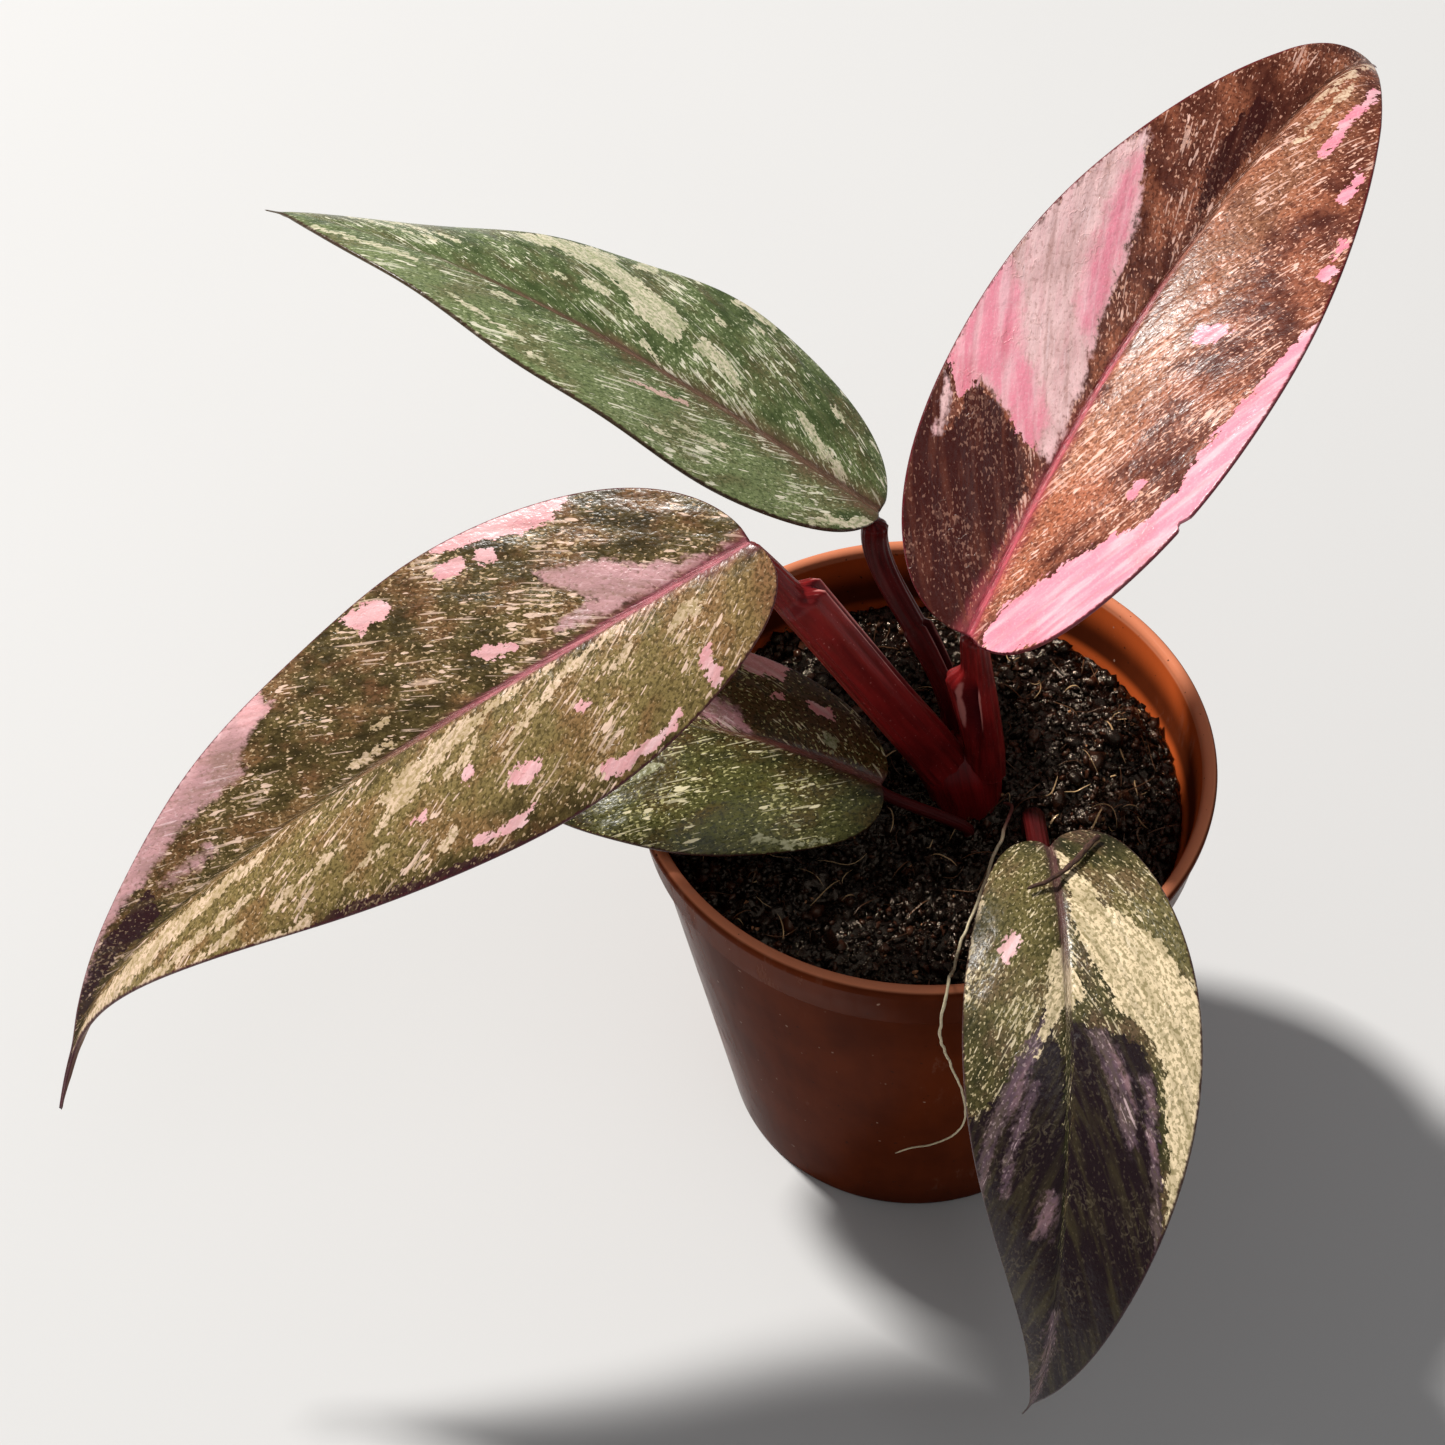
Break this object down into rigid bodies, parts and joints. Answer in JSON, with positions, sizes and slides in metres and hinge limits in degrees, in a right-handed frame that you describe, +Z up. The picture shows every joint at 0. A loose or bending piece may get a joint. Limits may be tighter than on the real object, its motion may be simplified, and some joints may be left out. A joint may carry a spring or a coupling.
{
  "type": "potted houseplant",
  "caption": "Young pink princess philodendron with pink, cream and dark green variegated leaves on crimson stalks, growing in a round brown plastic nursery pot.",
  "frame": {"origin": "centre of the pot's underside", "axes": "+Z up along the pot's axis; the front, where one leaf hangs over the rim, faces -Y; the big drooping leaf reaches to -X"},
  "size_m": [0.1627, 0.1308, 0.1224],
  "materials": {
    "pot_plastic": "moulded terracotta-brown plastic, semi-gloss",
    "potting_soil": "dark damp potting mix with coir fibres, rough",
    "stem_skin": "crimson plant skin, waxy",
    "stalk_skin": "crimson plant skin, waxy, faintly ridged",
    "leaf_upright": "glossy leaf, maroon-brown and pink variegation",
    "leaf_back": "glossy leaf, dark green with cream flecks",
    "leaf_left": "glossy leaf, olive-brown with pink and cream variegation",
    "leaf_low": "glossy leaf, dark green and olive with pink and cream flecks",
    "leaf_front": "glossy leaf, dark purple-brown with cream-gold variegation",
    "root_skin": "pale straw root, dry",
    "twig_bark": "dark dry twig, rough"
  },
  "bodies": {
    "root": {"pot": "pot_plastic", "soil": "potting_soil", "stem": "stem_skin", "petiole_left": "stalk_skin", "petiole_upright": "stalk_skin", "petiole_back": "stalk_skin", "petiole_low": "stalk_skin", "petiole_front": "stalk_skin", "blade_upright": "leaf_upright", "blade_back": "leaf_back", "blade_left": "leaf_left", "blade_low": "leaf_low", "blade_front": "leaf_front", "root_hanging": "root_skin", "twig_dry": "twig_bark"}
  },
  "joints": []
}
